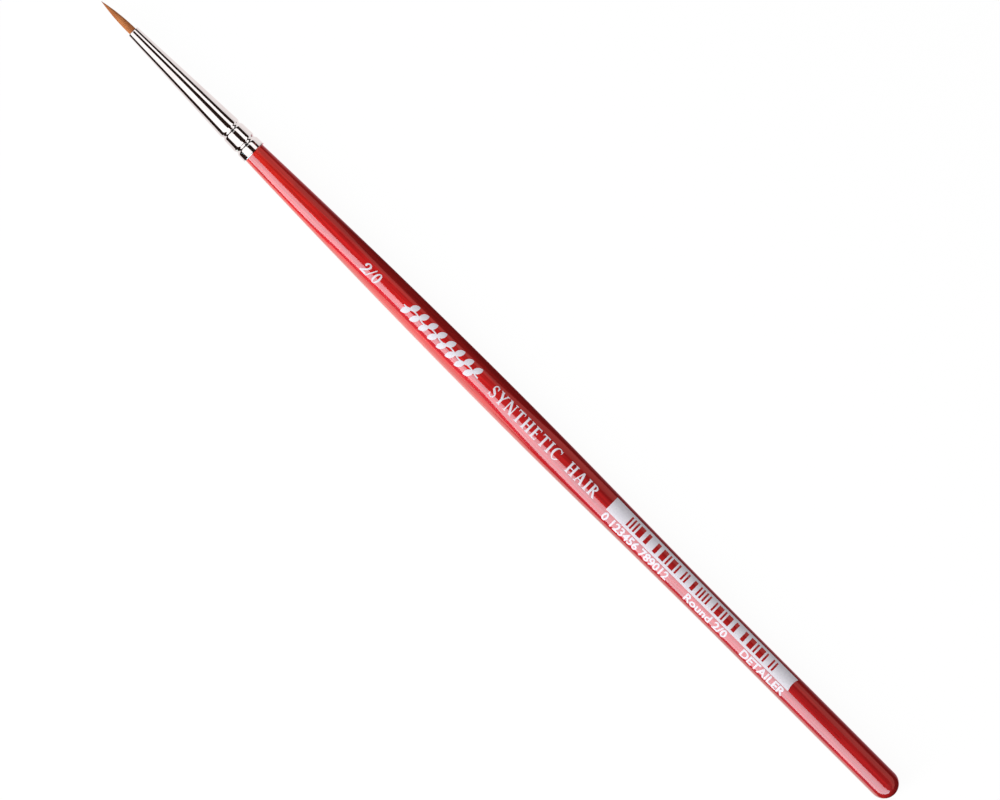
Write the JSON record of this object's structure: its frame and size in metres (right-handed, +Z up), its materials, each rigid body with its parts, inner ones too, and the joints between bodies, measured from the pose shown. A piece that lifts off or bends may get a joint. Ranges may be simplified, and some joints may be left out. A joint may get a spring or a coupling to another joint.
{
  "type": "fine detail brush",
  "caption": "Fine pointed detail brush: a short tapered hair tuft, a crimped conical metal ferrule and a slim red lacquered wooden handle with white print.",
  "frame": {"origin": "bottom centre of the bounding box, under the middle of the brush, on the surface that the handle's belly lies on", "axes": "+X along the brush towards the point of the tuft, +Z up through the printed side of the handle, +Y to the side that holds the patch's plain number strip"},
  "size_m": [0.17, 0.0054, 0.0055],
  "materials": {
    "wood": "turned, straight grain along the handle",
    "lacquer": "high gloss dipped red lacquer, slightly see-through over the grain",
    "ferrule_metal": "polished nickel plate",
    "hair": "fine golden-brown synthetic hairs laid parallel",
    "thread": "twisted cotton thread",
    "resin": "cured amber resin",
    "glue": "dried glue",
    "white_foil": "smooth stamped white foil"
  },
  "bodies": {
    "root": {"wood_handle": "wood", "lacquer_coat": "lacquer", "ferrule": "ferrule_metal", "hair_tuft": "hair", "binding_thread": "thread", "root_resin": "resin", "tenon_glue": "glue", "size_mark_foil": "white_foil", "leaf_ornament_foil": "white_foil", "striped_patch_foil": "white_foil"}
  },
  "joints": []
}
